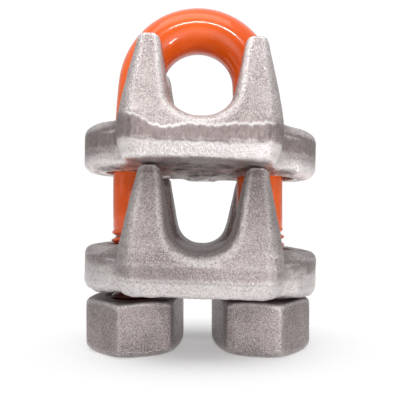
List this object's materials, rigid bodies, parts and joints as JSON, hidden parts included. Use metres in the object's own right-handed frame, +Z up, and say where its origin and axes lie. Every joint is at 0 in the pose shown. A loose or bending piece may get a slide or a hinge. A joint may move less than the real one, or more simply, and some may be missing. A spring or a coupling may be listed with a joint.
{
  "type": "double-saddle wire rope clip",
  "caption": "Painted U-bolt with hex nuts that draws two galvanized forged saddles together, clamping one rope under its bow and another between the saddles.",
  "frame": {"origin": "on the surface the clip stands on, below the middle of its bounding box", "axes": "+X from the left leg to the right leg, +Y along the clamped ropes, away from the front, +Z up the legs towards the bow"},
  "size_m": [0.0572, 0.049, 0.084],
  "materials": {
    "bolt_paint": "thick glossy orange enamel over steel",
    "galvanized_forging": "hot-dip galvanized over a rough drop forging, dull silver grey",
    "galvanized_nut": "dull galvanized, darker and smoother than the forgings"
  },
  "bodies": {
    "u_bolt": {"u_bolt": "bolt_paint"},
    "lower_saddle": {"lower_saddle": "galvanized_forging"},
    "upper_saddle": {"upper_saddle": "galvanized_forging"},
    "left_nut": {"left_nut": "galvanized_nut"},
    "right_nut": {"right_nut": "galvanized_nut"}
  },
  "joints": [
    {"name": "lower_saddle_slide", "type": "slide", "parent": "u_bolt", "child": "lower_saddle", "axis": [0, 0, 1], "range_m": [-0.0095, 0.004]},
    {"name": "left_nut_spin", "type": "hinge", "parent": "lower_saddle", "child": "left_nut", "pos_m": [-0.01597, 0, 0.00635], "axis": [0, 0, 1], "range_deg": [-1751, 738]},
    {"name": "right_nut_spin", "type": "hinge", "parent": "lower_saddle", "child": "right_nut", "pos_m": [0.01475, 0, 0.00635], "axis": [0, 0, 1], "range_deg": [-1751, 738]},
    {"name": "upper_saddle_lift", "type": "slide", "parent": "lower_saddle", "child": "upper_saddle", "axis": [0, 0, 1], "range_m": [0, 0.003]}
  ],
  "couplings": [
    {"joint": "left_nut_spin", "follows": "lower_saddle_slide", "rad_per_m": 3215.9},
    {"joint": "right_nut_spin", "follows": "lower_saddle_slide", "rad_per_m": 3215.9}
  ]
}
